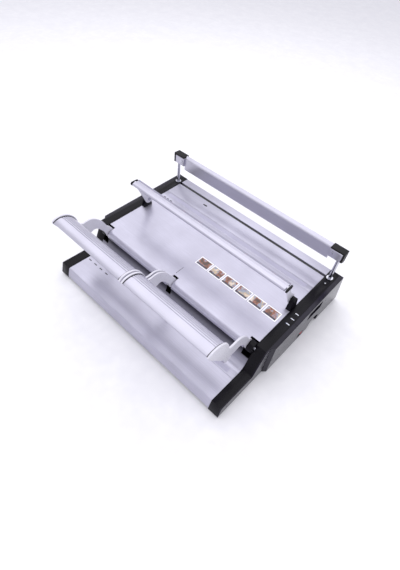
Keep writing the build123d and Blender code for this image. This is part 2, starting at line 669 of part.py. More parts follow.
# ---------------------------------------------------------------- middle bar
BAR_Y = BAR_PIVOT_Y - BAR_REACH
BAR_Z = BAR_PIVOT_Z + BAR_RISE
BAR_ARM_NECK = 7.0
BAR_ARM_FOOT = 14.0
BAR_PIN_RADIUS = 3.0
BAR_CAP_THICKNESS = 4.0
LANDING_PLAY = 0.3         # room for the slope of the bed under the round cord
PAD_ANGLE = radians(40)    # the press cord sits on the rear edge of the raised bar, up by this
CORE_END = (BAR_WIDTH - BAR_THICKNESS) / 2
PAD_Y = BAR_Y + CORE_END + BAR_PAD_RADIUS * cos(PAD_ANGLE)
PAD_Z = BAR_Z + BAR_PAD_RADIUS * sin(PAD_ANGLE)
PAD_REACH = hypot(PAD_Y - BAR_PIVOT_Y, PAD_Z - BAR_PIVOT_Z)
PAD_RAISED = atan2(PAD_Z - BAR_PIVOT_Z, PAD_Y - BAR_PIVOT_Y)
PAD_LANDED = asin((MIDDLE_TAPE_TOP + PRESS_GAP + BAR_PAD_RADIUS + LANDING_PLAY - BAR_PIVOT_Z) / PAD_REACH)
BAR_CLOSING = degrees(PAD_RAISED - PAD_LANDED)

with BuildPart() as bar:
    with BuildSketch(side_plane(-BAR_HALF)):
        with Locations(at(BAR_Y, BAR_Z)):
            SlotOverall(BAR_WIDTH, BAR_THICKNESS)
        for n in range(3):
            with Locations(at(BAR_Y + 1.0 + 2.6 * n, BAR_Z + BAR_THICKNESS / 2)):
                Circle(0.5, mode=Mode.SUBTRACT)
        with Locations(at(PAD_Y, PAD_Z)):
            Circle(BAR_PAD_RADIUS + 0.02, mode=Mode.SUBTRACT)
    extrude(amount=2 * BAR_HALF)
save(bar.part, "middle_bar_extrusion")

with BuildPart() as bar_pad:
    with BuildSketch(side_plane(-BAR_HALF)):
        with Locations(at(PAD_Y, PAD_Z)):
            Circle(BAR_PAD_RADIUS)
    extrude(amount=2 * BAR_HALF)
save(bar_pad.part, "middle_press_cord")

with BuildPart() as bar_arms:
    for side in (-1, 1):
        with BuildSketch(side_plane(side * BAR_HALF)):
            with Locations(at(BAR_Y, BAR_Z)):
                Circle(BAR_THICKNESS / 2)
            with Locations(at(BAR_PIVOT_Y - BAR_REACH * 0.5, BAR_PIVOT_Z + BAR_RISE * 0.45)):
                Circle(BAR_ARM_NECK)
            make_hull()
        extrude(amount=side * BAR_ARM_THICKNESS)
        with BuildSketch(side_plane(side * BAR_HALF)):
            with Locations(at(BAR_PIVOT_Y - BAR_REACH * 0.5, BAR_PIVOT_Z + BAR_RISE * 0.45)):
                Circle(BAR_ARM_NECK)
            with Locations(at(BAR_PIVOT_Y, BAR_PIVOT_Z)):
                Circle(BAR_ARM_FOOT)
            make_hull()
        extrude(amount=side * BAR_ARM_THICKNESS)
        with BuildSketch(side_plane(side * BAR_HALF)):
            with Locations(at(BAR_PIVOT_Y, BAR_PIVOT_Z)):
                Circle(BAR_PIN_RADIUS + PIN_FIT)
        extrude(amount=side * BAR_ARM_THICKNESS, mode=Mode.SUBTRACT)
save(bar_arms.part, "middle_bar_arms")

with BuildPart() as bar_caps:
    for side in (-1, 1):
        face = side * (BAR_HALF + BAR_ARM_THICKNESS)
        with BuildSketch(side_plane(face)):
            with Locations(at(BAR_Y, BAR_Z)):
                SlotOverall(BAR_WIDTH + 1.5, BAR_THICKNESS + 1.5)
        extrude(amount=side * BAR_CAP_THICKNESS)
        with BuildSketch(side_plane(face + side * BAR_CAP_THICKNESS)):
            with Locations(at(BAR_Y, BAR_Z)):
                SlotOverall(BAR_WIDTH - 4, BAR_THICKNESS - 4)
        extrude(amount=-side * BAR_CAP_THICKNESS / 2, mode=Mode.SUBTRACT)
save(bar_caps.part, "middle_bar_end_caps")

LUG_START = BAR_HALF + BAR_ARM_THICKNESS + HUB_GAP
LUG_RADIUS = 9.0
LUG_THICKNESS = INNER - LUG_START
with BuildPart() as lugs:
    for side in (-1, 1):
        with BuildSketch(side_plane(side * LUG_START)):
            with Locations(at(BAR_PIVOT_Y, BAR_PIVOT_Z)):
                Circle(LUG_RADIUS)
            Polygon(
                at(BAR_PIVOT_Y - 16, panel_z(BAR_PIVOT_Y - 16) + 0.05),
                at(BAR_PIVOT_Y + 16, panel_z(BAR_PIVOT_Y + 16) + 0.05),
                at(BAR_PIVOT_Y + LUG_RADIUS, BAR_PIVOT_Z),
                at(BAR_PIVOT_Y - LUG_RADIUS, BAR_PIVOT_Z),
                align=None,
            )
            with Locations(at(BAR_PIVOT_Y, BAR_PIVOT_Z)):
                Circle(BAR_PIN_RADIUS, mode=Mode.SUBTRACT)
        extrude(amount=side * LUG_THICKNESS)
save(lugs.part, "middle_pivot_lugs")

with BuildPart() as bar_pins:
    for side in (-1, 1):
        with BuildSketch(side_plane(side * (LUG_START + LUG_THICKNESS))):
            with Locations(at(BAR_PIVOT_Y, BAR_PIVOT_Z)):
                Circle(BAR_PIN_RADIUS)
        extrude(amount=-side * (LUG_THICKNESS + HUB_GAP + BAR_ARM_THICKNESS + HUB_GAP))
        with BuildSketch(side_plane(side * (BAR_HALF - HUB_GAP))):
            with Locations(at(BAR_PIVOT_Y, BAR_PIVOT_Z)):
                Circle(PIN_HEAD_RADIUS - 1)
        extrude(amount=-side * PIN_HEAD)
save(bar_pins.part, "middle_pivot_screws")

# ---------------------------------------------------------------- rear bar
BLADE_BOTTOM = REAR_BED_TOP + FILM + PRESS_GAP + REAR_TRAVEL
REAR_BAR_BOTTOM = BLADE_BOTTOM + BLADE_DROP
REAR_BAR_TOP = REAR_BAR_BOTTOM + REAR_BAR_HEIGHT
REAR_BAR_FRONT = SLOT_Y - REAR_BAR_THICKNESS / 2
REAR_BAR_BACK = SLOT_Y + REAR_BAR_THICKNESS / 2
REAR_CAP = 5.0
BRACKET_BOTTOM = REAR_BAR_TOP - BRACKET_HEIGHT + 4
BRACKET_END = ROD_X + ROD_RADIUS + BRACKET_WALL
BRACKET_FRONT = SLOT_Y - BRACKET_DEPTH / 2
COLLAR_HEIGHT = 6.0
COLLAR_Z = REAR_TRAVEL + FRAME_WALL + 1.0
ROD_TOP = REAR_BAR_TOP - 6

with BuildPart() as rear_bar:
    with BuildSketch(side_plane(-REAR_BAR_HALF)):
        Polygon(
            at(REAR_BAR_FRONT, REAR_BAR_BOTTOM),
            at(REAR_BAR_FRONT, REAR_BAR_TOP - 3),
            at(REAR_BAR_FRONT + 2, REAR_BAR_TOP),
            at(REAR_BAR_BACK - 3, REAR_BAR_TOP + 5),
            at(REAR_BAR_BACK, REAR_BAR_TOP + 5),
            at(REAR_BAR_BACK, REAR_BAR_BOTTOM),
            align=None,
        )
        with Locations(at(SLOT_Y, REAR_BAR_BOTTOM)):
            Rectangle(BLADE_WIDTH, 6, align=(Align.CENTER, Align.MIN), mode=Mode.SUBTRACT)
    extrude(amount=2 * REAR_BAR_HALF)
    fillet(rear_bar.edges().filter_by(Axis.X).sort_by(Axis.Z)[-4:], 0.9)
save(rear_bar.part, "rear_bar_extrusion")

with BuildPart() as blade:
    with BuildSketch(side_plane(-REAR_BAR_HALF)):
        with Locations(at(SLOT_Y, BLADE_BOTTOM)):
            Rectangle(BLADE_WIDTH, BLADE_DROP + 6, align=(Align.CENTER, Align.MIN))
    extrude(amount=2 * REAR_BAR_HALF)
    fillet(blade.edges().filter_by(Axis.X).sort_by(Axis.Z)[:2], 1.5)
save(blade.part, "rear_press_blade")

with BuildPart() as rear_brackets:
    for side in (-1, 1):
        centre_x = side * (REAR_BAR_HALF + BRACKET_END) / 2
        with Locations((centre_x, Y0 + BRACKET_FRONT, FOOT_HEIGHT + BRACKET_BOTTOM)):
            Box(
                BRACKET_END - REAR_BAR_HALF, BRACKET_DEPTH, REAR_BAR_TOP - BRACKET_BOTTOM,
                align=(Align.CENTER, Align.MIN, Align.MIN),
            )
        with Locations((side * ROD_X, Y0 + SLOT_Y, FOOT_HEIGHT + BRACKET_BOTTOM)):
            Cylinder(
                ROD_RADIUS, ROD_TOP - BRACKET_BOTTOM, mode=Mode.SUBTRACT,
                align=(Align.CENTER, Align.CENTER, Align.MIN),
            )
    fillet(rear_brackets.edges().filter_by(Axis.X).group_by(Axis.Z)[-1].sort_by(Axis.Y)[:2], 4.0)
save(rear_brackets.part, "rear_bar_brackets")

CAP_INNER = REAR_BAR_HALF + CLEARANCE
with BuildPart() as rear_caps:
    for side in (-1, 1):
        top_length = BRACKET_END + REAR_CAP - CAP_INNER
        with Locations((side * CAP_INNER, Y0 + SLOT_Y, FOOT_HEIGHT + REAR_BAR_TOP)):
            Box(
                top_length, BRACKET_DEPTH + 2, REAR_CAP,
                align=(Align.MIN if side > 0 else Align.MAX, Align.CENTER, Align.MIN),
            )
        with BuildSketch(side_plane(side * BRACKET_END)):
            half = BRACKET_DEPTH / 2 + 1
            Polygon(
                at(SLOT_Y - half, REAR_BAR_TOP + REAR_CAP),
                at(SLOT_Y + half, REAR_BAR_TOP + REAR_CAP),
                at(SLOT_Y + half, BRACKET_BOTTOM - 4),
                at(SLOT_Y + half - 6, BRACKET_BOTTOM - 9),
                at(SLOT_Y - half, BRACKET_BOTTOM + 1),
                align=None,
            )
        extrude(amount=side * REAR_CAP)
    fillet(rear_caps.edges().filter_by(Axis.X).group_by(Axis.Z)[-1], 2.0)
save(rear_caps.part, "rear_bar_end_caps")

with BuildPart() as rods:
    for side in (-1, 1):
        with Locations((side * ROD_X, Y0 + SLOT_Y, FOOT_HEIGHT + COLLAR_Z)):
            Cylinder(ROD_RADIUS, ROD_TOP - COLLAR_Z, align=(Align.CENTER, Align.CENTER, Align.MIN))
save(rods.part, "rear_guide_rods")

with BuildPart() as collars:
    for side in (-1, 1):
        with Locations((side * ROD_X, Y0 + SLOT_Y, FOOT_HEIGHT + COLLAR_Z)):
            Cylinder(COLLAR_RADIUS, COLLAR_HEIGHT, align=(Align.CENTER, Align.CENTER, Align.MIN))
            Cylinder(
                ROD_RADIUS, COLLAR_HEIGHT, mode=Mode.SUBTRACT, align=(Align.CENTER, Align.CENTER, Align.MIN)
            )
save(collars.part, "rear_rod_collars")

BRACKET_SCREW_X = REAR_BAR_HALF + 10
with BuildPart() as bracket_screws:
    for side in (-1, 1):
        screw_plane = Plane.XZ.offset(-(Y0 + BRACKET_FRONT))
        with BuildSketch(screw_plane):
            with Locations((side * BRACKET_SCREW_X, FOOT_HEIGHT + BRACKET_BOTTOM + BRACKET_HEIGHT / 2)):
                Circle(PIN_RADIUS)
        extrude(amount=1.6)
    fillet(bracket_screws.edges().group_by(Axis.Y)[0], 1.0)
save(bracket_screws.part, "rear_bracket_screws")

BUSH_TOP = top_z(SLOT_Y)
BUSH_FLANGE = 2.0
BUSH_FLANGE_RADIUS = BUSH_RADIUS + 1.5
BUSH_CLEARANCE = 0.04
BUSH_LIFT = BUSH_FLANGE_RADIUS * TOP_SLOPE + BUSH_CLEARANCE  # the flange clears the sloping frame top
with BuildPart() as bushes:
    for side in (-1, 1):
        with Locations((side * ROD_X, Y0 + SLOT_Y, FOOT_HEIGHT + BUSH_TOP + BUSH_LIFT)):
            Cylinder(BUSH_FLANGE_RADIUS, BUSH_FLANGE, align=(Align.CENTER, Align.CENTER, Align.MIN))
        with Locations((side * ROD_X, Y0 + SLOT_Y, FOOT_HEIGHT + BUSH_TOP + BUSH_LIFT)):
            Cylinder(BUSH_RADIUS, BUSH_LENGTH, align=(Align.CENTER, Align.CENTER, Align.MAX))
        with Locations((side * ROD_X, Y0 + SLOT_Y, FOOT_HEIGHT + BUSH_TOP)):
            Cylinder(ROD_RADIUS + PIN_FIT, 3 * BUSH_LENGTH, mode=Mode.SUBTRACT)
save(bushes.part, "rear_guide_bushes")

SPRING_WIRE = 1.2
SPRING_RADIUS = ROD_RADIUS + 1.5
SPRING_LOW = COLLAR_Z + COLLAR_HEIGHT
SPRING_HIGH = BUSH_TOP + BUSH_LIFT - BUSH_LENGTH
with BuildPart() as springs:
    for side in (-1, 1):
        with Locations((side * ROD_X, Y0 + SLOT_Y, FOOT_HEIGHT + SPRING_LOW)):
            Cylinder(
                SPRING_RADIUS + SPRING_WIRE, SPRING_HIGH - SPRING_LOW,
                align=(Align.CENTER, Align.CENTER, Align.MIN),
            )
            Cylinder(
                SPRING_RADIUS, SPRING_HIGH - SPRING_LOW, mode=Mode.SUBTRACT,
                align=(Align.CENTER, Align.CENTER, Align.MIN),
            )
save(springs.part, "rear_return_springs")

# ---------------------------------------------------------------- controls and electrics
COVER_FACE = FRAME_OUT + BULGE
ROCKER_DEPTH = 9.0         # depth of the opening in the bezel
ROCKER_PLAY = 0.2
ROCKER_AXIS_SINK = 5.6     # rocker axis below the face of the cover
ROCKER_TILT = 10.0         # the rocker rests this far over to its front end
ROCKER_HALF = ROCKER_LENGTH / 2 - 1.4
SWITCH_BODY_DEPTH = 18.0

with BuildPart() as bezel:
    with BuildSketch(side_plane(COVER_FACE)):
        with Locations(at(ROCKER_Y, ROCKER_HEIGHT)):
            Rectangle(ROCKER_LENGTH + 2 * BEZEL_WALL, ROCKER_WIDTH + 2 * BEZEL_WALL)
    extrude(amount=-(ROCKER_DEPTH + 2))
    with BuildSketch(side_plane(COVER_FACE)):
        with Locations(at(ROCKER_Y, ROCKER_HEIGHT)):
            Rectangle(ROCKER_LENGTH, ROCKER_WIDTH)
    extrude(amount=-ROCKER_DEPTH, mode=Mode.SUBTRACT)
    with BuildSketch(side_plane(COVER_FACE - ROCKER_DEPTH - 2)):
        with Locations(at(ROCKER_Y, ROCKER_HEIGHT)):
            Rectangle(ROCKER_LENGTH, ROCKER_WIDTH)
    extrude(amount=-SWITCH_BODY_DEPTH)
save(bezel.part, "rocker_bezel")

ROCKER_AXIS = (COVER_FACE - ROCKER_AXIS_SINK, Y0 + ROCKER_Y)
rocker_low = FOOT_HEIGHT + ROCKER_HEIGHT - ROCKER_WIDTH / 2 + ROCKER_PLAY
with BuildPart() as rocker:
    with BuildSketch(Plane((*ROCKER_AXIS, rocker_low)).rotated((0, 0, -ROCKER_TILT))):
        with BuildLine():
            ThreePointArc((4.2, -ROCKER_HALF), (2.4, 0), (4.2, ROCKER_HALF))
            Line((4.2, ROCKER_HALF), (0, ROCKER_HALF))
            ThreePointArc((0, ROCKER_HALF), (-2.8, 0), (0, -ROCKER_HALF))
            Line((0, -ROCKER_HALF), (4.2, -ROCKER_HALF))
        make_face()
    extrude(amount=ROCKER_WIDTH - 2 * ROCKER_PLAY)
save(rocker.part, "power_rocker")

INLET_FLANGE = 1.5
INLET_WALL = 2.0
INLET_LAP = 3.0            # flange behind the edge of the arch
FLANGE_BOTTOM = FRAME_WALL + CLEARANCE
SOCKET_DEPTH = 15.0
inlet_face = FRAME_OUT + INLET_FLANGE
with BuildPart() as inlet:
    with BuildSketch(side_plane(inlet_face)):
        with Locations(at(INLET_Y, FLANGE_BOTTOM)):
            flange_height = ARCH_HEIGHT + INLET_LAP - FLANGE_BOTTOM
            Rectangle(ARCH_WIDTH + 2 * INLET_LAP, flange_height, align=(Align.CENTER, Align.MIN))
    extrude(amount=-INLET_FLANGE)
    with BuildSketch(side_plane(inlet_face)):
        with Locations(at(INLET_Y, INLET_CENTRE)):
            Rectangle(INLET_WIDTH, INLET_HEIGHT)
    extrude(amount=-(SOCKET_DEPTH + INLET_WALL))
    with BuildSketch(side_plane(inlet_face)):
        with Locations(at(INLET_Y, INLET_CENTRE)):
            Rectangle(INLET_WIDTH - 2 * INLET_WALL, INLET_HEIGHT - 2 * INLET_WALL)
    extrude(amount=-SOCKET_DEPTH, mode=Mode.SUBTRACT)
    with BuildSketch(side_plane(inlet_face - SOCKET_DEPTH)):
        with Locations(at(INLET_Y, INLET_CENTRE)):
            with Locations((-7, -2), (0, 2), (7, -2)):
                Rectangle(2, 4)
    extrude(amount=SOCKET_DEPTH - 4)
save(inlet.part, "power_inlet")

LENS_HEIGHT = 4.0
with BuildPart() as lenses:
    for y in LENS_Y:
        with Locations((LENS_X, Y0 + y, FOOT_HEIGHT + top_z(y) + 0.2)):
            Box(LENS_LENGTH, LENS_WIDTH, LENS_HEIGHT, align=(Align.CENTER, Align.CENTER, Align.MAX))
save(lenses.part, "indicator_lenses")

CORE = (64.0, 52.0, 66.0)
WINDING = (48.0, 76.0, 34.0)
TRANSFORMER_X = INNER - 120.0
TRANSFORMER_Y = SHOULDER_DEPTH + 120.0
with BuildPart() as core:
    with Locations((TRANSFORMER_X, Y0 + TRANSFORMER_Y, FOOT_HEIGHT + BASE_TOP)):
        Box(*CORE, align=(Align.CENTER, Align.CENTER, Align.MIN))
        with Locations((0, 0, (CORE[2] - WINDING[2]) / 2)):
            Box(
                WINDING[0], WINDING[1], WINDING[2], mode=Mode.SUBTRACT,
                align=(Align.CENTER, Align.CENTER, Align.MIN),
            )
save(core.part, "transformer_core")
with BuildPart() as winding:
    with Locations((TRANSFORMER_X, Y0 + TRANSFORMER_Y, FOOT_HEIGHT + BASE_TOP + (CORE[2] - WINDING[2]) / 2)):
        Box(*WINDING, align=(Align.CENTER, Align.CENTER, Align.MIN))
    fillet(winding.edges().filter_by(Axis.Z), 6.0)
save(winding.part, "transformer_winding")

BOARD = (110.0, 80.0, 1.6)
BOARD_X = TRANSFORMER_X - 130.0
BOARD_Y = TRANSFORMER_Y
STANDOFF = 8.0
board_z = FOOT_HEIGHT + BASE_TOP + STANDOFF
with BuildPart() as board:
    with Locations((BOARD_X, Y0 + BOARD_Y, board_z)):
        Box(*BOARD, align=(Align.CENTER, Align.CENTER, Align.MIN))
    top = board_z + BOARD[2]
    with Locations((BOARD_X - 35, Y0 + BOARD_Y, top)):
        Box(18, 46, 22, align=(Align.CENTER, Align.CENTER, Align.MIN))
    with Locations((BOARD_X + 5, Y0 + BOARD_Y - 22, top), (BOARD_X + 28, Y0 + BOARD_Y - 22, top)):
        Box(19, 15, 15, align=(Align.CENTER, Align.CENTER, Align.MIN))
    with Locations((BOARD_X + 5, Y0 + BOARD_Y + 18, top), (BOARD_X + 28, Y0 + BOARD_Y + 18, top)):
        Cylinder(7, 26, align=(Align.CENTER, Align.CENTER, Align.MIN))
save(board.part, "control_board")
with BuildPart() as standoffs:
    with Locations((BOARD_X, Y0 + BOARD_Y, FOOT_HEIGHT + BASE_TOP)):
        with GridLocations(BOARD[0] - 12, BOARD[1] - 12, 2, 2):
            Cylinder(3, STANDOFF, align=(Align.CENTER, Align.CENTER, Align.MIN))
save(standoffs.part, "board_standoffs")

MICROSWITCH = (8.0, 20.0, 10.0)
with BuildPart() as microswitches:
    for side in (-1, 1):
        inward = (Align.MAX if side > 0 else Align.MIN, Align.CENTER, Align.CENTER)
        outward = (Align.MIN if side > 0 else Align.MAX, Align.CENTER, Align.CENTER)
        with Locations((side * INNER, Y0 + HANDLE_PIVOT_Y + 32, FOOT_HEIGHT + HANDLE_PIVOT_Z - 26)):
            Box(*MICROSWITCH, align=inward)
        with Locations((side * (INNER + FRAME_WALL), Y0 + SLOT_Y - 24, FOOT_HEIGHT + COLLAR_Z + 8)):
            Box(*MICROSWITCH, align=outward)
save(microswitches.part, "microswitches")

# ---------------------------------------------------------------- feet, screws and labels
FOOT_INSET = 40.0
with BuildPart() as feet:
    for side in (-1, 1):
        for y in (FOOT_INSET, BODY_DEPTH - FOOT_INSET):
            with Locations((side * (INNER + FRAME_THICKNESS / 2), Y0 + y, FOOT_HEIGHT)):
                Cylinder(FOOT_RADIUS, FOOT_HEIGHT, align=(Align.CENTER, Align.CENTER, Align.MAX))
    fillet(feet.edges().group_by(Axis.Z)[0], 1.2)
save(feet.part, "rubber_feet")

SCREW_LOW = 0.3            # screw heads below the face of their cover
with BuildPart() as cover_screws:
    for side in (-1, 1):
        for y, z in COVER_SCREWS:
            face = BULGE if y > BULGE_START else COVER_THICKNESS
            with BuildSketch(side_plane(side * (FRAME_OUT + face - SCREW_SINK))):
                with Locations(at(y, z)):
                    Circle(SCREW_RADIUS - 0.1)
            extrude(amount=side * (SCREW_SINK - SCREW_LOW))
save(cover_screws.part, "cover_screws")

LABEL_SIZE = (45.0, 34.0, 0.3)
LABEL_PITCH = 47.7
LABEL_SIDE_GAP = 30.5      # centre of the outermost label to the end frame
LABEL_COUNT = 6
LABEL_Y = MIDDLE_BED_Y - 142.0
label_centre = (0, Y0 + LABEL_Y, FOOT_HEIGHT + panel_z(LABEL_Y))
label_plane = Plane(label_centre).rotated((degrees(atan2(TOP_SLOPE, 1)), 0, 0))
with BuildPart() as labels:
    with Locations(label_plane):
        with Locations(*[(INNER - LABEL_SIDE_GAP - n * LABEL_PITCH, 0, 0) for n in range(LABEL_COUNT)]):
            Box(*LABEL_SIZE, align=(Align.CENTER, Align.CENTER, Align.MIN))
save(labels.part, "picture_labels")

print("middle bar closes through", round(BAR_CLOSING, 2), "degrees")
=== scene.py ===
import json
import math

import bpy
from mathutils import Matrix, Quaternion, Vector


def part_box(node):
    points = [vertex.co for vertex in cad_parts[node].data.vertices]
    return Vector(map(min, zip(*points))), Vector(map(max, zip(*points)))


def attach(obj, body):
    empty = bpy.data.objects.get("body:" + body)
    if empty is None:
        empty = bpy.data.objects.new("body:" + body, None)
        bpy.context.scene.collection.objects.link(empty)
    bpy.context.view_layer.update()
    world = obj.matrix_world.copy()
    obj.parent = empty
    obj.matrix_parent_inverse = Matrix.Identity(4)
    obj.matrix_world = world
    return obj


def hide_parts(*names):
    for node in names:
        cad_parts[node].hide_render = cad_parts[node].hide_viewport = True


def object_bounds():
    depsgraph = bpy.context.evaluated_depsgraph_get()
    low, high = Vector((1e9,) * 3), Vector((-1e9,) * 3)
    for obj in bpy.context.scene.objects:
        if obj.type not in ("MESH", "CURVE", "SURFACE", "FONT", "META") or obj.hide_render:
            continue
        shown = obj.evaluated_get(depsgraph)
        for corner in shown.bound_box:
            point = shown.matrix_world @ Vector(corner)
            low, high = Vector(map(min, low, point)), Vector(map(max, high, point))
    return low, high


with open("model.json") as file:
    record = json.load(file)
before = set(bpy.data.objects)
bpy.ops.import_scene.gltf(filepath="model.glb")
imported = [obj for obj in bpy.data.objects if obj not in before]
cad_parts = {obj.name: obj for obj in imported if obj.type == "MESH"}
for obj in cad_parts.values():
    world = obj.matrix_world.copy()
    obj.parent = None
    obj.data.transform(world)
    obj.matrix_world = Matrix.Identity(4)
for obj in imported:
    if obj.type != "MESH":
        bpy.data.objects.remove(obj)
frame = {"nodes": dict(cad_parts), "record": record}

# A flat desktop sealing machine, most likely for film covers on books: two press handles over a tray at
# the front, one bar that swings over the sloping top, and one bar on two guide rods at the back.
# Everything is in metres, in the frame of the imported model. Sizes below are given in millimetres times MM.

MM = 0.001
SMOOTH_ANGLE = 32          # degrees; a sharper edge is bevelled, and stays an edge when the piece is shaded
WEAR_SIZE = 90.0           # millimetres across a patch of slightly different tone on any surface
GRAIN_TIMES_WEAR = (0.12, 0.42)   # spread of the two noises multiplied, which sets the tone
GRAIN_ALONE = (0.3, 0.7)   # spread of the grain noise, which sets the gloss
CAD_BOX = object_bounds()
RECORD = frame["record"]
SLOT_OF = {row["node"]: row["material_slot"] for row in RECORD["subparts"]}
BODY_OF = {node: body for body, nodes in RECORD["behaviour"]["bodies"].items() for node in nodes}


# ---------------------------------------------------------------- colour and node helpers
def linear(code, alpha=1.0):
    """An sRGB hex colour as the linear values that a shader takes."""
    values = [int(code[i:i + 2], 16) / 255 for i in (1, 3, 5)]
    toe = [v / 12.92 if v <= 0.04045 else ((v + 0.055) / 1.055) ** 2.4 for v in values]
    return (*toe, alpha)


def per(size):
    """Pattern scale on Object coordinates for a feature of this size in millimetres."""
    return 1.0 / (size * MM)


def add(tree, kind, inputs=None, **settings):
    """Adds a node with its settings; an input is a value or another node's output."""
    node = tree.nodes.new("ShaderNode" + kind)
    for name, value in settings.items():
        setattr(node, name, value)
    for socket, value in (inputs or {}).items():
        if isinstance(value, bpy.types.NodeSocket):
            tree.links.new(value, node.inputs[socket])
        else:
            node.inputs[socket].default_value = value
    return node


def finish_with(name, tones, size, shader, stretch=(1, 1, 1), rough=(0.3, 0.4), bump=0.1, depth=0.02):
    """A surface whose tone, gloss and relief follow one noise of the given feature size in millimetres.

    A stretch of more than 1 draws that noise out along its axis."""
    material = bpy.data.materials.new(name)
    material.use_nodes = True
    tree = material.node_tree
    surface = tree.nodes["Principled BSDF"]
    for socket, value in shader.items():
        surface.inputs[socket].default_value = value
    place = add(tree, "TexCoord").outputs["Object"]
    stretched = add(tree, "Mapping", {"Vector": place, "Scale": tuple(per(size) / s for s in stretch)})
    grain = add(tree, "TexNoise", {"Vector": stretched.outputs[0], "Scale": 1.0, "Detail": 4.0})
    level = grain.outputs[0]
    wear = add(tree, "TexNoise", {"Vector": place, "Scale": per(WEAR_SIZE), "Detail": 2.0})
    blend = add(tree, "Math", {0: level, 1: wear.outputs[0]}, operation="MULTIPLY")
    spread = add(tree, "MapRange", {"Value": blend.outputs[0], "From Min": GRAIN_TIMES_WEAR[0],
                                    "From Max": GRAIN_TIMES_WEAR[1]})
    tone = add(tree, "Mix", {0: spread.outputs[0], 6: linear(tones[0]), 7: linear(tones[1])},
               data_type="RGBA")
    tree.links.new(tone.outputs[2], surface.inputs["Base Color"])
    gloss = add(tree, "MapRange", {"Value": level, "From Min": GRAIN_ALONE[0], "From Max": GRAIN_ALONE[1],
                                   "To Min": rough[0], "To Max": rough[1]})
    tree.links.new(gloss.outputs[0], surface.inputs["Roughness"])
    relief = add(tree, "Bump", {"Height": level, "Strength": bump, "Distance": depth * MM})
    tree.links.new(relief.outputs[0], surface.inputs["Normal"])
    return material


# ---------------------------------------------------------------- materials
def clear_anodised_sheet():
    # Aluminium brushed across the machine and anodised: long faint streaks, soft broad reflections.
    return finish_with("clear_anodised_sheet", ("#b0aebd", "#c2c0d0"), 0.9, {"Metallic": 0.6},
                       stretch=(70, 1, 1), rough=(0.28, 0.38), bump=0.12, depth=0.012)


RISER_SHADE_FOOT = 38 * MM        # height at which the painted shade on the riser begins
RISER_SHADE_FULL = 96 * MM        # height from which the painted shade covers fully


def tray_sheet():
    # The same sheet, with painted shade on the riser. It is dark under the nose and fades out towards the
    # tray, standing for the shade of the overhanging top and the dark reflection of its underside.
    material = clear_anodised_sheet()
    material.name = "clear_anodised_tray"
    tree = material.node_tree
    colour = tree.nodes["Principled BSDF"].inputs["Base Color"]
    spot = add(tree, "SeparateXYZ", {"Vector": add(tree, "TexCoord").outputs["Object"]})
    riser_shade = add(tree, "MapRange", {"Value": spot.outputs[2], "From Min": RISER_SHADE_FOOT, "From Max": RISER_SHADE_FULL},
               interpolation_type="SMOOTHSTEP")
    # mix towards the painted shade colour, the higher up the riser
    shaded = add(tree, "Mix", {0: riser_shade.outputs[0], 6: colour.links[0].from_socket, 7: linear("#2a2833")},
                 data_type="RGBA")
    tree.links.new(shaded.outputs[2], colour)
    return material


def clear_anodised_extrusion():
    # Extruded aluminium: die lines along its length under a clear anodic film.
    return finish_with("clear_anodised_extrusion", ("#b9b7c5", "#c3c1cf"), 0.9, {"Metallic": 0.7},
                       stretch=(400, 1, 1), rough=(0.28, 0.33), bump=0.05, depth=0.008)


def black_moulded_abs():
    # Injection-moulded ABS with a fine satin texture.
    return finish_with("black_moulded_abs", ("#09070d", "#100e15"), 0.9,
                       {"Metallic": 0.0, "Specular IOR Level": 0.14},
                       rough=(0.24, 0.36), bump=0.2, depth=0.03)


def polished_dark_abs():
    # Polished ABS in dark grey: semi-gloss with a slight orange peel.
    return finish_with("polished_dark_abs", ("#1b1823", "#252230"), 9.0,
                       {"Metallic": 0.0, "Specular IOR Level": 0.2},
                       rough=(0.16, 0.24), bump=0.05, depth=0.05)


def light_grey_enamel():
    # Stoved enamel on steel plate: smooth, with a faint peel.
    return finish_with("light_grey_enamel", ("#cfcdd9", "#dedde6"), 2.2,
                       {"Metallic": 0.0, "Coat Weight": 0.3, "Coat Roughness": 0.12},
                       rough=(0.26, 0.34), bump=0.12, depth=0.04)


def black_powder_coat():
    # Powder coat on sheet steel: an even, slightly pebbled black.
    return finish_with("black_powder_coat", ("#17161a", "#222126"), 1.2, {"Metallic": 0.0},
                       rough=(0.5, 0.62), bump=0.35, depth=0.05)


def black_moulded_nylon():
    # Glass-filled nylon: matt, with a fine spark-eroded texture.
    return finish_with("black_moulded_nylon", ("#0c0b0e", "#141317"), 0.8,
                       {"Metallic": 0.0, "Specular IOR Level": 0.25},
                       rough=(0.45, 0.58), bump=0.3, depth=0.04)


def nickel_plated_steel():
    # Ground steel with bright nickel: faint upright grinding streaks.
    return finish_with("nickel_plated_steel", ("#b8b8c2", "#cdcdd6"), 0.6, {"Metallic": 1.0},
                       stretch=(1, 1, 30), rough=(0.14, 0.22), bump=0.08, depth=0.01)


def drawn_spring_wire():
    # Drawn and oiled spring wire: dull grey with darker draw marks.
    return finish_with("drawn_spring_wire", ("#68686e", "#85858c"), 0.5, {"Metallic": 1.0},
                       rough=(0.32, 0.45), bump=0.15, depth=0.01)


def grey_silicone():
    # Heat-proof silicone rubber: grey, waxy and slightly mottled.
    return finish_with("grey_silicone", ("#8c8a9c", "#a09eb0"), 1.6,
                       {"Metallic": 0.0, "Subsurface Weight": 0.05},
                       rough=(0.48, 0.6), bump=0.2, depth=0.03)


def heat_resistant_laminate():
    # Pressed paper laminate: near black with a fibrous grain along the bar.
    return finish_with("heat_resistant_laminate", ("#17151a", "#262329"), 1.4, {"Metallic": 0.0},
                       stretch=(20, 1, 1), rough=(0.42, 0.56), bump=0.2, depth=0.03)


# A wave texture repeats every tau / 20 of its own units, so this scale puts the drawn threads 7.5 mm apart,
# far coarser than real ones, so that they show.
WEAVE_SCALE = per(24.0)


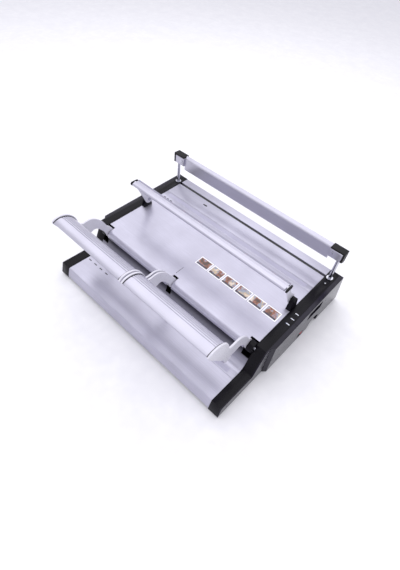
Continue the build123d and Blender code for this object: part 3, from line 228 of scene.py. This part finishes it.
def coated_glass_cloth():
    # Glass cloth in a slippery coating: a woven relief under a dull sheen.
    material = finish_with("coated_glass_cloth", ("#a9a6bc", "#c0bdd2"), 1.6,
                           {"Metallic": 0.0, "Sheen Weight": 0.2}, rough=(0.34, 0.46))
    tree = material.node_tree
    place = add(tree, "TexCoord").outputs["Object"]
    warp = add(tree, "TexWave", {"Vector": place, "Scale": WEAVE_SCALE}, bands_direction="X")
    weft = add(tree, "TexWave", {"Vector": place, "Scale": WEAVE_SCALE}, bands_direction="Y")
    weave = add(tree, "Math", {0: warp.outputs["Fac"], 1: weft.outputs["Fac"]}, operation="MAXIMUM")
    relief = add(tree, "Bump", {"Height": weave.outputs[0], "Strength": 0.3, "Distance": 0.06 * MM})
    surface = tree.nodes["Principled BSDF"]
    tree.links.new(relief.outputs[0], surface.inputs["Normal"])
    # The strip at the bottom of the rear slot is the black grade of the same cloth.
    spot = add(tree, "SeparateXYZ", {"Vector": place})
    slot_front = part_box("rear_seal_bed")[0][1]
    rear = add(tree, "Math", {0: spot.outputs[1], 1: slot_front}, operation="GREATER_THAN")
    graded = add(tree, "Mix", {0: rear.outputs[0], 6: surface.inputs["Base Color"].links[0].from_socket,
                               7: linear("#0d0c10")}, data_type="RGBA")
    tree.links.new(graded.outputs[2], surface.inputs["Base Color"])
    return material


def moulded_rubber():
    # Natural rubber feet: matt black with a dusty bloom.
    return finish_with("moulded_rubber", ("#19191a", "#262627"), 1.0, {"Metallic": 0.0},
                       rough=(0.68, 0.82), bump=0.3, depth=0.05)


def red_polycarbonate():
    # Glossy moulded polycarbonate that lets a little light in.
    return finish_with("red_polycarbonate", ("#c01527", "#d81f30"), 3.0,
                       {"Metallic": 0.0, "Coat Weight": 0.4, "Coat Roughness": 0.08},
                       rough=(0.2, 0.27), bump=0.06, depth=0.03)


def milky_acrylic():
    # Diffusing acrylic over the indicator lamps: white and slightly cloudy.
    return finish_with("milky_acrylic", ("#dddce6", "#eeedf4"), 1.5,
                       {"Metallic": 0.0, "Subsurface Weight": 0.1},
                       rough=(0.2, 0.3), bump=0.05, depth=0.02)


def transformer_laminations():
    # Stacked and varnished iron sheets: thin lines in brown varnish.
    return finish_with("transformer_laminations", ("#3a3431", "#59504a"), 0.7, {"Metallic": 0.7},
                       stretch=(40, 1, 40), rough=(0.38, 0.52), bump=0.4, depth=0.08)


def yellow_winding_tape():
    # Polyester tape wound round the coil: yellow with overlapping turns.
    return finish_with("yellow_winding_tape", ("#a98a1c", "#c2a22b"), 4.0, {"Metallic": 0.0},
                       stretch=(12, 12, 1), rough=(0.28, 0.4), bump=0.3, depth=0.08)


def green_board():
    # Epoxy board under green lacquer, with the glass weave just showing.
    return finish_with("green_board", ("#123c22", "#1c5230"), 1.5, {"Metallic": 0.0},
                       rough=(0.28, 0.4), bump=0.2, depth=0.04)


PICTURE_SIZE = 17.0        # millimetres across a patch of the abstract picture
PICTURE_BAND = 0.26        # share of the label's height at which the dark band along its bottom ends
PICTURE_BORDER = (0.07, 0.10)   # white border at the sides and at top and bottom, as shares


def printed_film():
    # A glossy picture label: white border, soft abstract picture and a dark band along the bottom.
    material = finish_with("printed_film", ("#f2f1f5", "#ffffff"), 3.0, {"Metallic": 0.0},
                           rough=(0.18, 0.24), bump=0.03, depth=0.01)
    tree = material.node_tree
    coords = add(tree, "TexCoord")
    spot = add(tree, "SeparateXYZ", {"Vector": coords.outputs["UV"]})
    clouds = add(tree, "TexNoise", {"Vector": coords.outputs["Object"], "Scale": per(PICTURE_SIZE),
                                    "Detail": 3.0})
    picture = add(tree, "ValToRGB", {"Fac": clouds.outputs[0]})
    stops = picture.color_ramp.elements
    stops[0].position, stops[0].color = 0.36, linear("#57443f")
    stops[1].position, stops[1].color = 0.66, linear("#e2d3c8")
    for position, colour in ((0.46, "#a3674f"), (0.53, "#8f9fb8"), (0.6, "#c9b08f")):
        stops.new(position).color = linear(colour)
    band = add(tree, "Math", {0: spot.outputs[1], 1: PICTURE_BAND}, operation="LESS_THAN")
    banded = add(tree, "Mix", {0: band.outputs[0], 6: picture.outputs[0], 7: linear("#3d3446")},
                 data_type="RGBA")
    inside = None
    for axis, margin in enumerate(PICTURE_BORDER):
        centred = add(tree, "Math", {0: spot.outputs[axis], 1: 0.5}, operation="SUBTRACT")
        away = add(tree, "Math", {0: centred.outputs[0]}, operation="ABSOLUTE")
        within = add(tree, "Math", {0: away.outputs[0], 1: 0.5 - margin}, operation="LESS_THAN").outputs[0]
        inside = within if inside is None else add(tree, "Math", {0: inside, 1: within},
                                                   operation="MULTIPLY").outputs[0]
    face = add(tree, "Mix", {0: inside, 6: linear("#f6f5f9"), 7: banded.outputs[2]}, data_type="RGBA")
    tree.links.new(face.outputs[2], tree.nodes["Principled BSDF"].inputs["Base Color"])
    return material


def printing_ink():
    # Screen-printed black ink on the anodised panel.
    return finish_with("printing_ink", ("#17151c", "#25222c"), 1.2, {"Metallic": 0.0},
                       rough=(0.4, 0.5), bump=0.1, depth=0.01)


MATERIALS = {
    "panel_aluminium": clear_anodised_sheet(),
    "base_steel": black_powder_coat(),
    "frame_plastic": black_moulded_abs(),
    "cover_plastic": polished_dark_abs(),
    "bar_aluminium": clear_anodised_extrusion(),
    "arm_paint": light_grey_enamel(),
    "cap_plastic": black_moulded_nylon(),
    "bright_steel": nickel_plated_steel(),
    "spring_steel": drawn_spring_wire(),
    "silicone_pad": grey_silicone(),
    "seal_bed": heat_resistant_laminate(),
    "nonstick_cloth": coated_glass_cloth(),
    "foot_rubber": moulded_rubber(),
    "rocker_red": red_polycarbonate(),
    "lens_white": milky_acrylic(),
    "label_film": printed_film(),
    "core_steel": transformer_laminations(),
    "winding_tape": yellow_winding_tape(),
    "board_laminate": green_board(),
}
INK = printing_ink()
TRAY = tray_sheet()

for node, slot in SLOT_OF.items():
    for holder in frame["nodes"][node].material_slots:
        holder.material = MATERIALS[slot]
    if not frame["nodes"][node].material_slots:
        frame["nodes"][node].data.materials.append(MATERIALS[slot])
for holder in frame["nodes"]["tray_panel"].material_slots:
    holder.material = TRAY


# ---------------------------------------------------------------- mesh helpers
def alone(piece):
    """Makes a piece the only selected and active object."""
    bpy.ops.object.select_all(action="DESELECT")
    piece.select_set(True)
    bpy.context.view_layer.objects.active = piece


def settle(piece, name, material, body):
    """Puts a finished piece's place into its mesh, and gives it its name, finish and body."""
    alone(piece)
    bpy.ops.object.transform_apply(location=True, rotation=True, scale=True)
    bpy.ops.object.shade_smooth_by_angle(angle=math.radians(SMOOTH_ANGLE))
    piece.name = name
    piece.data.materials.clear()
    piece.data.materials.append(material)
    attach(piece, body)
    return piece


def apply_bevel(piece, width, segments):
    """Rounds every sharp edge of a piece."""
    bevel = piece.modifiers.new("edge", "BEVEL")
    bevel.width = width
    bevel.segments = segments
    bevel.limit_method = "ANGLE"
    bevel.angle_limit = math.radians(SMOOTH_ANGLE)
    alone(piece)
    bpy.ops.object.modifier_apply(modifier=bevel.name)


WELD = 0.004 * MM          # corners of CAD faces closer than this are one corner
FLAT_ANGLE = 0.4           # degrees; faces that meet at less are one flat face


def edge_finished(node, width):
    """A copy of a CAD part with its sharp edges broken, which stands for that part."""
    source = frame["nodes"][node]
    piece = bpy.data.objects.new(node + "_finished", source.data.copy())
    bpy.context.scene.collection.objects.link(piece)
    alone(piece)
    bpy.ops.mesh.customdata_custom_splitnormals_clear()
    bpy.ops.object.mode_set(mode="EDIT")
    bpy.ops.mesh.select_all(action="SELECT")
    bpy.ops.mesh.remove_doubles(threshold=WELD)
    bpy.ops.mesh.dissolve_limited(angle_limit=math.radians(FLAT_ANGLE))
    bpy.ops.object.mode_set(mode="OBJECT")
    apply_bevel(piece, width * MM, 2)
    settle(piece, node + "_finished", MATERIALS[SLOT_OF[node]], BODY_OF[node])
    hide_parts(node)
    return piece


# ---------------------------------------------------------------- parts whose edges catch the light
EDGE_BREAKS = {            # millimetres taken off each edge
    "left_end_frame": 0.9, "right_end_frame": 0.9,
    "rear_top_panel": 0.3, "rear_rail": 0.4, "middle_seal_bed": 0.4,
    "rear_bar_brackets": 0.6, "rear_bar_end_caps": 0.6, "middle_bar_arms": 0.5,
    "middle_bar_end_caps": 0.6, "middle_pivot_lugs": 0.8, "rocker_bezel": 0.5,
}
for node, width in EDGE_BREAKS.items():
    edge_finished(node, width)

# ---------------------------------------------------------------- dark bands at the ends of the grips
BAND_EDGE = 0.3            # millimetres taken off the band's edges
BAND_PROUD = 1.035         # the moulded band is larger than the end of the grip by this factor


def end_band(node):
    """The two closure plates of a grip, as moulded bands that stand slightly proud of the extrusion."""
    band = edge_finished(node, BAND_EDGE)
    low, high = (Vector(corner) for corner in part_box(node))
    middle = (low + high) / 2
    for vertex in band.data.vertices:
        vertex.co.y = middle.y + (vertex.co.y - middle.y) * BAND_PROUD
        vertex.co.z = middle.z + (vertex.co.z - middle.z) * BAND_PROUD


end_band("left_handle_grip_ends")
end_band("right_handle_grip_ends")

# ---------------------------------------------------------------- the sloping top, read from the frame
LABEL_LOW, LABEL_HIGH = (Vector(corner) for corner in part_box("picture_labels"))
LABEL_THICKNESS = 0.3 * MM
TOP_SLOPE = (LABEL_HIGH.z - LABEL_THICKNESS - LABEL_LOW.z) / (LABEL_HIGH.y - LABEL_LOW.y)
TOP_ANGLE = math.atan(TOP_SLOPE)


def top_height(y):
    """Height of the sloping top panels at y."""
    return LABEL_LOW.z + (y - LABEL_LOW.y) * TOP_SLOPE


def plate(name, centre, size, radius, material, tilt=0.0):
    """A thin plate with rounded corners and its own UV map, lying on a surface."""
    bpy.ops.object.select_all(action="DESELECT")
    bpy.ops.mesh.primitive_cube_add(size=1.0)
    piece = bpy.context.active_object
    piece.scale = size
    bpy.ops.object.transform_apply(location=False, rotation=False, scale=True)
    corner = piece.modifiers.new("corners", "BEVEL")
    corner.width = radius
    corner.segments = 4
    corner.limit_method = "WEIGHT"
    weights = piece.data.attributes.new("bevel_weight_edge", "FLOAT", "EDGE")
    for edge in piece.data.edges:
        start, end = (piece.data.vertices[i].co for i in edge.vertices)
        weights.data[edge.index].value = 1.0 if abs(start.z - end.z) > size[2] / 2 else 0.0
    bpy.ops.object.modifier_apply(modifier=corner.name)
    layer = piece.data.uv_layers.active or piece.data.uv_layers.new(name="face")
    for loop in piece.data.loops:
        spot = piece.data.vertices[loop.vertex_index].co
        layer.data[loop.index].uv = (spot.x / size[0] + 0.5, spot.y / size[1] + 0.5)
    piece.rotation_euler = (tilt, 0, 0)
    piece.location = centre
    return settle(piece, name, material, "chassis")


# ---------------------------------------------------------------- picture labels
LABEL_COUNT = 6
LABEL_CORNER = 2.2 * MM
LABEL_SIZE = (45 * MM, 34 * MM, LABEL_THICKNESS)
LABEL_STEP = (LABEL_HIGH.x - LABEL_LOW.x - LABEL_SIZE[0]) / (LABEL_COUNT - 1)
LABEL_Y = (LABEL_LOW.y + LABEL_HIGH.y) / 2
for n in range(LABEL_COUNT):
    x = LABEL_LOW.x + LABEL_SIZE[0] / 2 + n * LABEL_STEP
    z = top_height(LABEL_Y) + LABEL_THICKNESS / 2
    plate(f"picture_label_{n + 1}", (x, LABEL_Y, z), LABEL_SIZE, LABEL_CORNER,
                        MATERIALS["label_film"], TOP_ANGLE)
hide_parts("picture_labels")

# ---------------------------------------------------------------- printed marks on the top and the tray
MARK_THICKNESS = 0.12 * MM
MARK_CORNER = 0.3          # corner radius as a share of a mark's shorter side
TRAY_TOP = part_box("front_seal_beds")[0][2]
ARM_OVERHANG = 13 * MM     # the raised handle arms reach this far ahead of the body
FRONT_FOOT = CAD_BOX[0][1] + ARM_OVERHANG


def mark(name, x, depth, width, length, height=None):
    """A printed block on the top panel, or on a level surface when its height is given.

    Its place across, its depth behind the front foot, its width and its length are in millimetres."""
    y = FRONT_FOOT + depth * MM
    z = top_height(y) if height is None else height
    size = (width * MM, length * MM, MARK_THICKNESS)
    corner = MARK_CORNER * min(size[0], size[1])
    tilt = TOP_ANGLE if height is None else 0.0
    plate(name, (x * MM, y, z + MARK_THICKNESS / 2), size, corner, INK, tilt)


mark("centre_line", -10, 194, 1.2, 30)
for n in range(3):
    mark(f"film_mark_{n + 1}", -272 + 14 * n, 384, 8, 3)
for n in range(4):
    mark(f"tray_mark_{n + 1}", -276 + 26 * n, 76, 12, 3, TRAY_TOP)
mark("rear_mark", -152, 450, 16, 5)


# ---------------------------------------------------------------- status lamp on the right end frame
BUTTON_RIM = 0.35          # width of a button's rim as a share of its radius
BUTTON_EDGE = 0.2          # its rounding as a share of its height


def turned_button(name, centre, radius, height, rise, slot):
    """A short round button with a rounded rim; its face is raised, or dished when the rise is negative."""
    bpy.ops.object.select_all(action="DESELECT")
    bpy.ops.mesh.primitive_cylinder_add(vertices=32, radius=radius, depth=height)
    piece = bpy.context.active_object
    bpy.ops.object.mode_set(mode="EDIT")
    bpy.ops.mesh.select_all(action="DESELECT")
    bpy.ops.object.mode_set(mode="OBJECT")
    for face in piece.data.polygons:
        face.select = face.normal.z > 0.9
    bpy.ops.object.mode_set(mode="EDIT")
    bpy.ops.mesh.inset(thickness=radius * BUTTON_RIM, depth=rise)
    bpy.ops.object.mode_set(mode="OBJECT")
    apply_bevel(piece, height * BUTTON_EDGE, 2)
    piece.location = centre
    settle(piece, name, MATERIALS[slot], "chassis")


FRAME_PROUD = 0.5 * MM     # the end frames stand this much above the panels
LAMP_X = 305 * MM
LAMP_Y = FRONT_FOOT + 450 * MM
LAMP_Z = top_height(LAMP_Y) + FRAME_PROUD
LAMP_BEZEL = (5 * MM, 1.4 * MM, -0.6 * MM)   # radius, height and rise of the face
LAMP_LENS = (1.9 * MM, 1.2 * MM, 0.4 * MM)   # the same for the lens inside it
BEZEL_LIFT = 0.5 * MM      # middle of the bezel above the end frame
LENS_LIFT = 0.8 * MM       # middle of the lens above the end frame
turned_button("status_lamp_bezel", (LAMP_X, LAMP_Y, LAMP_Z + BEZEL_LIFT), *LAMP_BEZEL, "cap_plastic")
turned_button("status_lamp", (LAMP_X, LAMP_Y, LAMP_Z + LENS_LIFT), *LAMP_LENS, "lens_white")


# ---------------------------------------------------------------- screws
HEAD_DOME = 0.4            # rounding of a head as a share of its height
RECESS_SPAN = 1.15         # length of the cross recess as a share of the head's radius
RECESS_WIDTH = 0.26        # its width as a share of the radius
RECESS_DEPTH = 0.45        # its depth as a share of the head's height


def screw_head(name, centre, axis, radius, height, body):
    """A domed screw head with a cross recess; axis is the way it faces."""
    bpy.ops.object.select_all(action="DESELECT")
    bpy.ops.mesh.primitive_cylinder_add(vertices=32, radius=radius, depth=height)
    head = bpy.context.active_object
    apply_bevel(head, height * HEAD_DOME, 3)
    for angle in (0, math.pi / 2):
        bpy.ops.object.select_all(action="DESELECT")
        bpy.ops.mesh.primitive_cube_add(size=1.0, location=(0, 0, height / 2))
        cutter = bpy.context.active_object
        cutter.scale = (radius * RECESS_SPAN, radius * RECESS_WIDTH, height * 2 * RECESS_DEPTH)
        cutter.rotation_euler = (0, 0, angle)
        recess = head.modifiers.new("recess", "BOOLEAN")
        recess.operation = "DIFFERENCE"
        recess.solver = "EXACT"
        recess.object = cutter
        alone(head)
        bpy.ops.object.modifier_apply(modifier=recess.name)
        bpy.data.objects.remove(cutter)
    head.rotation_mode = "QUATERNION"
    head.rotation_quaternion = Vector((0, 0, 1)).rotation_difference(Vector(axis))
    head.location = centre
    return settle(head, name, MATERIALS["bright_steel"], body)


CORNER_KEY = 1e5           # corners that agree to a hundredth of a millimetre are one corner


def solid_boxes(node):
    """The box of each separate solid of a CAD node, found from its joined-up triangles."""
    mesh = frame["nodes"][node].data
    key = [tuple(round(c * CORNER_KEY) for c in vertex.co) for vertex in mesh.vertices]
    parent = {k: k for k in key}

    def root(k):
        while parent[k] != k:
            parent[k] = parent[parent[k]]
            k = parent[k]
        return k

    for face in mesh.polygons:
        first = root(key[face.vertices[0]])
        for index in face.vertices[1:]:
            parent[root(key[index])] = first
    groups = {}
    for k, vertex in zip(key, mesh.vertices):
        groups.setdefault(root(k), []).append(vertex.co)
    boxes = []
    for points in groups.values():
        low = Vector([min(p[i] for p in points) for i in range(3)])
        high = Vector([max(p[i] for p in points) for i in range(3)])
        boxes.append((low, high))
    return sorted(boxes, key=lambda b: tuple(round(c, 4) for c in b[0]))


def screws_for(node, name, axis_index, body):
    """One detailed head in the place of each plain screw of a node."""
    for n, (low, high) in enumerate(solid_boxes(node)):
        middle = (low + high) / 2
        outward = [0, 0, 0]
        outward[axis_index] = -1 if axis_index == 1 or middle.x < 0 else 1
        across = (axis_index + 1) % 3
        radius = (high[across] - low[across]) / 2
        height = high[axis_index] - low[axis_index]
        screw_head(f"{name}_{n + 1}", middle, outward, radius, height, body)
    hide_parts(node)


screws_for("cover_screws", "cover_screw", 0, "chassis")
screws_for("rear_bracket_screws", "bracket_screw", 1, "rear_bar")


# ---------------------------------------------------------------- floor, light and camera
FLOOR_SIZE = 9.0
ROOM_LIGHT = 0.86


def studio():
    """A pale floor in a soft even room, with one large lamp above and a small one in front."""
    floor_material = finish_with("studio_paper", ("#f1f0f4", "#f8f7fa"), 30.0, {"Metallic": 0.0},
                                 rough=(0.8, 0.9), bump=0.02, depth=0.02)
    bpy.ops.object.select_all(action="DESELECT")
    bpy.ops.mesh.primitive_plane_add(size=FLOOR_SIZE)
    floor = bpy.context.active_object
    floor.name = "studio_floor"
    floor.data.materials.append(floor_material)
    world = bpy.data.worlds.new("soft_room")
    world.use_nodes = True
    world.node_tree.nodes["Background"].inputs["Color"].default_value = linear("#f8f8ff")
    world.node_tree.nodes["Background"].inputs["Strength"].default_value = ROOM_LIGHT
    bpy.context.scene.world = world
    for name, place, size, power in (
        ("top_softbox", (-0.5, 0.5, 2.1), 3.2, 34),
        ("front_softbox", (0.7, -1.9, 1.3), 1.1, 6),
    ):
        bpy.ops.object.light_add(type="AREA", location=place)
        lamp = bpy.context.active_object
        lamp.name = name
        lamp.data.size = size
        lamp.data.energy = power
        lamp.rotation_mode = "QUATERNION"
        lamp.rotation_quaternion = (-Vector(place)).to_track_quat("-Z", "Y")


CAMERA_PLACE = Vector((0.4765, -0.6017, 0.8976))
CAMERA_AZIMUTH = math.radians(37.856)
CAMERA_ELEVATION = math.radians(49.283)
CAMERA_ROLL = math.radians(-7.264)   # about the direction of view
CAMERA_LENS = 23.892


def camera():
    """The eye, ahead of the front right corner and looking down at the machine."""
    level = math.cos(CAMERA_ELEVATION)
    ahead = Vector((-math.sin(CAMERA_AZIMUTH) * level,
                    math.cos(CAMERA_AZIMUTH) * level,
                    -math.sin(CAMERA_ELEVATION)))
    bpy.ops.object.camera_add(location=CAMERA_PLACE)
    eye = bpy.context.active_object
    eye.rotation_mode = "QUATERNION"
    eye.rotation_quaternion = Quaternion(ahead, CAMERA_ROLL) @ ahead.to_track_quat("-Z", "Y")
    eye.data.sensor_fit = "VERTICAL"
    eye.data.sensor_height = 36.0
    eye.data.lens = CAMERA_LENS
    bpy.context.scene.camera = eye


studio()
camera()
bpy.context.scene.view_settings.view_transform = "Standard"   # shows the finishes in their own colours
